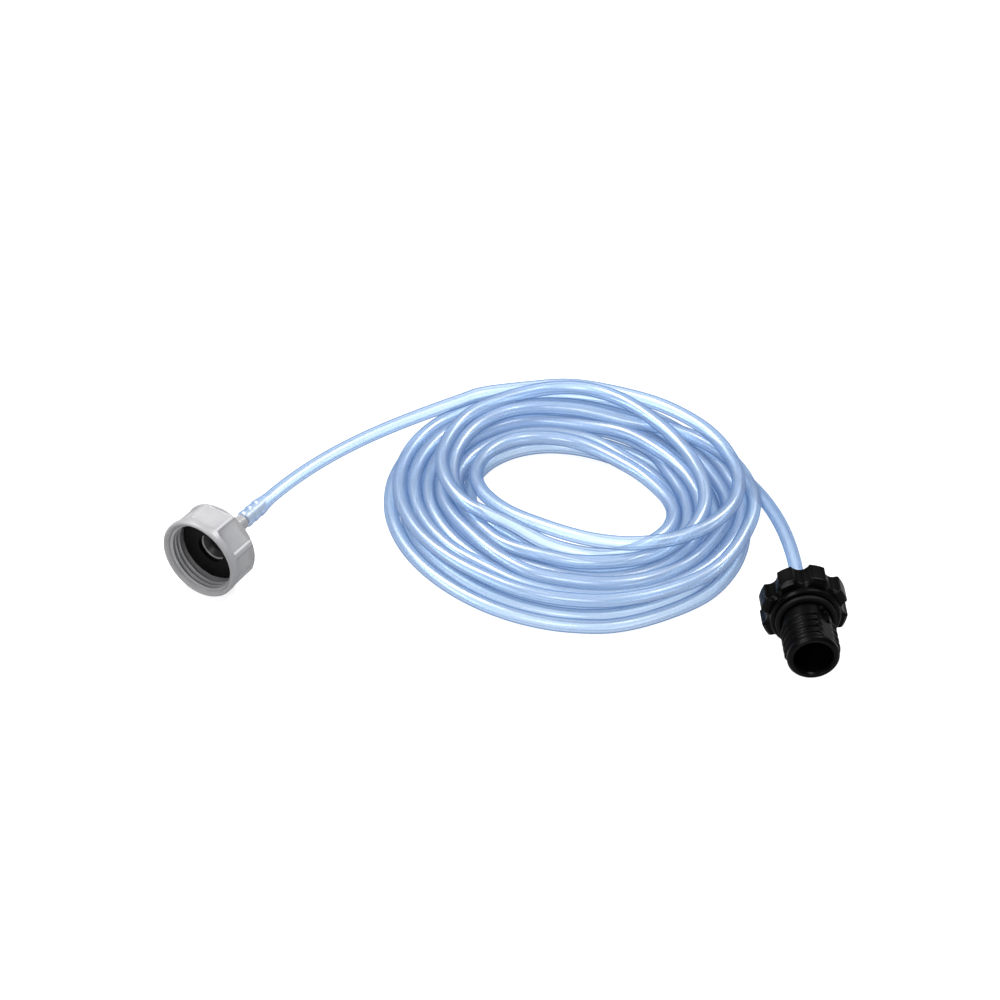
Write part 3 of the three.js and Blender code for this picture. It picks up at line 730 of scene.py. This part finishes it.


def tap_tail():
    outline = fillet(
        [
            (1.3, -24.0, 0.5),
            (3.2, -20.5, 0.6),
            (4.3, -14.4, 0.5),
            (5.2, -13.3, 0.4),
            (6.3, -12.4, 0.3),
            (6.9, -12.0, 0.3),
            (13.4, -12.0, 0.3),
            (13.4, -13.9, 0.3),
            (5.0, -13.9, 0.5),
            (5.0, -18.2, 0.6),
            (4.0, -20.6, 0.6),
            (4.0, -28.8, 0.4),
            (3.3, -29.6, 0.3),
            (3.3, -32.0, 0.25),
            (1.9, -32.0, 0.2),
            *barbed_stem(-32.0),
        ]
    )
    tail = revolve("tap_tail_body", outline, 96, TAP, GREY)
    # painted shade: the bore's inward faces near the axis get the near-black copy of the grey
    tail.data.materials.append(GREY_PAINTED_SHADE)
    for polygon in tail.data.polygons:
        from_axis = np.array(polygon.center) - TAP[0]
        from_axis -= TAP[3] * (from_axis @ TAP[3])
        inward = np.array(polygon.normal) @ from_axis < 0
        polygon.material_index = int(inward and np.linalg.norm(from_axis) < PAINTED_SHADE_RADIUS * MM)
    stand_for(tail, "tap_hose_tail", "tap_lead")


def tap_washer():
    outline = fillet(
        [
            (6.5, WASHER_FACE, 0.5),
            (14.8, WASHER_FACE, 0.6),
            (14.8, -11.7, 0.5),
            (6.5, -11.7, 0.4),
        ]
    )
    washer = revolve("tap_washer_ring", refine(outline, 0.5), 128, TAP, RUBBER)
    stand_for(washer, "tap_washer", "tap_lead")


# ------------------------------------------------------------------ spigot adaptor

NOTCH_START = math.radians(4.4)
NOTCH_AWAY, NOTCH_RADIUS = 19.9, 4.1  # a notch is a cylinder this far from the axis
LOBE_TIP = 18.5
LOBED_BORE = 13.1
PITCH = 2.5  # of the thread between the lobed nut and the spigot
THREAD_DEPTH, THREAD_CREST = 1.1, 0.4
FAR = 40.0  # a radius past every surface: no cut here


def lobed_shape(r, z, angle):
    """Eight lobes with round notches between them, and the thread in the bore."""
    off = np.abs(wrap(angle - NOTCH_START, EIGHTH))
    inside = np.clip(NOTCH_RADIUS * NOTCH_RADIUS - (NOTCH_AWAY * np.sin(off)) ** 2, 0, None)
    in_notch = off < math.asin(NOTCH_RADIUS / NOTCH_AWAY)
    notch = np.where(in_notch, NOTCH_AWAY * np.cos(off) - np.sqrt(inside), FAR)
    edge = LOBE_TIP - np.where(r > 15, r, LOBE_TIP)
    lobes = soft_min(np.full_like(r, LOBE_TIP), notch, 2.2) - edge
    rim = (r > 15) & (z > -11.25)
    body = np.where(rim, np.minimum(r, lobes), r)
    fade = smooth_step(-z, 0.4, 1.4) * (1 - smooth_step(-z, 9.6, 10.6))
    cut = THREAD_DEPTH * thread(z, angle, PITCH, -9.6, 0.9, THREAD_CREST) * fade
    return np.where(np.abs(r - LOBED_BORE) < ON_WALL, r - cut, body)


def lobed_nut():
    outline = fillet(
        [
            (LOBED_BORE, 0, 0.3),
            (17.2, 0, 0.4),
            (LOBE_TIP, -1.2, 0.8),
            (LOBE_TIP, -10.2, 0.8),
            (17.4, -11.2, 0.5),
            (13.0, -11.2, 0.9),
            (11.4, -14.8, 1.6),
            (7.4, -19.5, 1.0),
            (4.1, -19.5, 0.3),
            (4.1, -17.35, 0.2),
            (5.45, -17.35, 0.2),
            (8.9, -12.9, 0.2),
            (8.9, -11.4, 0.2),
            (LOBED_BORE, -11.0, 0.2),
        ]
    )
    nut = revolve("lobed_nut_body", refine(outline, 0.25), 320, SPIGOT, BLACK, lobed_shape)
    stand_for(nut, "lobed_nut", "compression_nut")


BARREL = 10.5  # radius of the barrel between its ridges
BARREL_END = 26.4
MALE_ROOT = 11.3  # radius at the root of the thread under the lobed nut
SPIGOT_BACK = -10.4  # the flat back of the spigot, where its barbed stem starts
PANEL_AT = math.radians(48)
PANEL_HALF = 1.2  # radians to either side of a panel's middle
RIDGES, FIRST_RIDGE, RIDGE_STEP, RIDGE_HEIGHT = 4, 12.6, 3.85, 1.2
POCKET_AT, POCKET_HALF, POCKET_DEPTH = 9.8, 2.4, 1.1


def spigot_shape(r, z, angle):
    """Ridges on the barrel, cut off by two flat panels with a pocket each, and the male thread."""
    barrel = (r > 10.2) & (r < 12.3) & (z > 3.6) & (z < BARREL_END)
    ridges = np.zeros_like(r)
    for k in range(RIDGES):
        at = FIRST_RIDGE + RIDGE_STEP * k
        ridges = np.maximum(ridges, 1 - smooth_step(np.abs(z - at), 0.25, 0.75))
    round_r = BARREL + RIDGE_HEIGHT * ridges
    zone = smooth_step(z, 5.2, 6.2) * (1 - smooth_step(z, 25.6, BARREL_END))
    for turn in (PANEL_AT, PANEL_AT + math.pi):
        off = wrap(angle - turn, 2 * math.pi)
        near = np.abs(off) < PANEL_HALF
        flat = np.where(near, 9.9 / np.cos(np.clip(off, -PANEL_HALF, PANEL_HALF)), FAR)
        panel = soft_min(round_r, flat, 0.35)
        across = np.abs(off) * 10.2
        past_pocket = np.clip(np.abs(z - POCKET_AT) - POCKET_HALF, 0, None)
        pocket = POCKET_DEPTH * (1 - smooth_step(np.hypot(past_pocket, across), 1.9, 2.6))
        round_r = round_r + (panel - round_r) * zone - pocket * near
    male = (np.abs(r - MALE_ROOT) < ON_WALL) & (z < 0) & (z > -10.3)
    fade = smooth_step(-z, 0.8, 1.8) * (1 - smooth_step(-z, 8.8, 9.8))
    ridge = THREAD_DEPTH * thread(z, angle, PITCH, -8.35, 1.0, THREAD_CREST) * fade
    return np.where(male, MALE_ROOT + ridge, np.where(barrel, round_r, r))


def spigot():
    outline = fillet(
        [
            (7.3, 7.0, 0.3),
            (7.6, 9.0, 0.3),
            (8.0, 27.9, 0.3),
            (8.7, 29.0, 0.4),
            (10.0, 29.0, 0.45),
            (11.0, 28.0, 0.5),
            (11.0, 26.7, 0.3),
            (BARREL, BARREL_END, 0.2),
            (BARREL, 3.0, 0.35),
            (14.2, 3.0, 0.6),
            (14.9, 2.3, 0.5),
            (14.9, 0.35, 0.2),
            (MALE_ROOT, 0.35, 0.2),
            (MALE_ROOT, SPIGOT_BACK, 0.4),
            (1.9, SPIGOT_BACK, 0.2),
            *barbed_stem(SPIGOT_BACK),
            (1.3, -8.4, 0.3),
        ]
    )
    body = revolve("spigot_body", refine(outline, 0.25), 256, SPIGOT, BLACK, spigot_shape)
    stand_for(body, "adaptor_spigot", "adaptor_lead")


def face_seal():
    outline = fillet(
        [(10.9, 3.3, 0.3), (13.0, 3.3, 0.5), (13.0, 5.0, 0.6), (12.3, 5.3, 0.4), (10.9, 5.3, 0.3)]
    )
    seal = revolve("spigot_seal_ring", outline, 128, SPIGOT, RUBBER)
    stand_for(seal, "spigot_face_seal", "adaptor_lead")


tap_nut()
tap_tail()
tap_washer()
lobed_nut()
spigot()
face_seal()

# the split grip ring keeps its CAD shape, deep inside the lobed nut
grip = frame["nodes"]["hose_grip_ring"]
grip.data.materials.clear()
grip.data.materials.append(BLACK)


# ------------------------------------------------------------------ floor, light and camera

FLOOR_HALF, FLOOR_DROP = 6.0, 0.0002  # metres; a hair below the hose, so that they don't meet
GLOW_ALWAYS, GLOW_TO_CAMERA, GLOW_TO_DIFFUSE = 0.12, 0.70, 0.38


def floor():
    """A pale floor that looks white to the camera and lights the object less than it looks."""
    mat, nodes, links, bsdf, _ = material("pale_floor")
    place = nodes.new("ShaderNodeTexCoord").outputs["Object"]
    soft = noise(nodes, links, 3, 2, place)
    tone = ramp(nodes, links, soft.outputs["Fac"], [(0.3, grey(0.30)), (0.7, grey(0.32))])
    links.new(tone.outputs["Color"], bsdf.inputs["Base Color"])
    bsdf.inputs["Roughness"].default_value = 0.9
    bsdf.inputs["Specular IOR Level"].default_value = 0.1
    bsdf.inputs["Emission Color"].default_value = (1, 1, 1, 1)
    path = nodes.new("ShaderNodeLightPath")
    glow = None
    for ray, extra in (("Is Camera Ray", GLOW_TO_CAMERA), ("Is Diffuse Ray", GLOW_TO_DIFFUSE)):
        add = nodes.new("ShaderNodeMath")
        add.operation = "MULTIPLY_ADD"
        add.inputs[1].default_value = extra
        links.new(path.outputs[ray], add.inputs[0])
        if glow is None:
            add.inputs[2].default_value = GLOW_ALWAYS
        else:
            links.new(glow, add.inputs[2])
        glow = add.outputs[0]
    links.new(glow, bsdf.inputs["Emission Strength"])
    s = FLOOR_HALF
    obj = new_object("floor", [(-s, -s, 0), (s, -s, 0), (s, s, 0), (-s, s, 0)], [(0, 1, 2, 3)], mat)
    obj.location.z = -FLOOR_DROP


LIT_SPOT = (0.02, 0, 0)


def area_light(name, at, size, power):
    """A white rectangular lamp that points at the object."""
    data = bpy.data.lights.new(name, "AREA")
    data.shape = "RECTANGLE"
    data.size, data.size_y = size
    data.energy = power
    obj = bpy.data.objects.new(name, data)
    bpy.context.scene.collection.objects.link(obj)
    obj.location = at
    obj.rotation_euler = (Vector(LIT_SPOT) - Vector(at)).to_track_quat("-Z", "Y").to_euler()


WORLD_LIGHT, WORLD_IN_REFLECTIONS = 0.35, 0.08


def world():
    """Even white light, dimmer where it would be seen reflected in the plastics."""
    w = bpy.data.worlds.new("studio")
    bpy.context.scene.world = w
    w.use_nodes = True
    back = w.node_tree.nodes["Background"]
    back.inputs["Color"].default_value = (1.0, 1.0, 1.0, 1)
    links = w.node_tree.links
    path = w.node_tree.nodes.new("ShaderNodeLightPath")
    dim = w.node_tree.nodes.new("ShaderNodeMapRange")
    dim.inputs["To Min"].default_value = WORLD_LIGHT
    dim.inputs["To Max"].default_value = WORLD_IN_REFLECTIONS
    links.new(path.outputs["Is Glossy Ray"], dim.inputs["Value"])
    links.new(dim.outputs["Result"], back.inputs["Strength"])


COIL_CENTRE = (0.02857, 0.01710, 0.0)
ELEVATION = math.radians(38.0)
DISTANCE, VIEW_WIDTH = 1.70, 0.4377  # metres from the coil's centre, and across the frame there
SENSOR = 36.0
SHIFT = (-0.0701, 0.01835)
CLIP = (0.05, 20)


def camera():
    """Seen from the front, 38 degrees above level, with the coil right of the middle."""
    forward = Vector((0, math.cos(ELEVATION), -math.sin(ELEVATION)))
    data = bpy.data.cameras.new("camera")
    data.sensor_width = SENSOR
    data.lens = SENSOR * DISTANCE / VIEW_WIDTH
    data.shift_x, data.shift_y = SHIFT
    data.clip_start, data.clip_end = CLIP
    obj = bpy.data.objects.new("camera", data)
    bpy.context.scene.collection.objects.link(obj)
    obj.location = Vector(COIL_CENTRE) - forward * DISTANCE
    obj.rotation_euler = forward.to_track_quat("-Z", "Y").to_euler()
    bpy.context.scene.camera = obj


floor()
world()
# place in metres, size in metres, power in watts
area_light("back_left", (-0.75, 0.46, 1.25), (0.45, 0.45), 26)
area_light("back_right", (0.85, 0.75, 1.27), (0.35, 0.35), 14)
area_light("top_right", (0.5, -0.25, 1.4), (0.3, 0.3), 9)
area_light("front", (-0.55, -1.25, 0.95), (0.7, 0.5), 11)
camera()

# many thin walls lie behind one another, so light may pass through many of them
scene = bpy.context.scene
scene.view_settings.view_transform = "Standard"
scene.cycles.max_bounces = 8
scene.cycles.transparent_max_bounces = 64
scene.cycles.glossy_bounces = 6
scene.cycles.diffuse_bounces = 4
scene.cycles.use_denoising = True
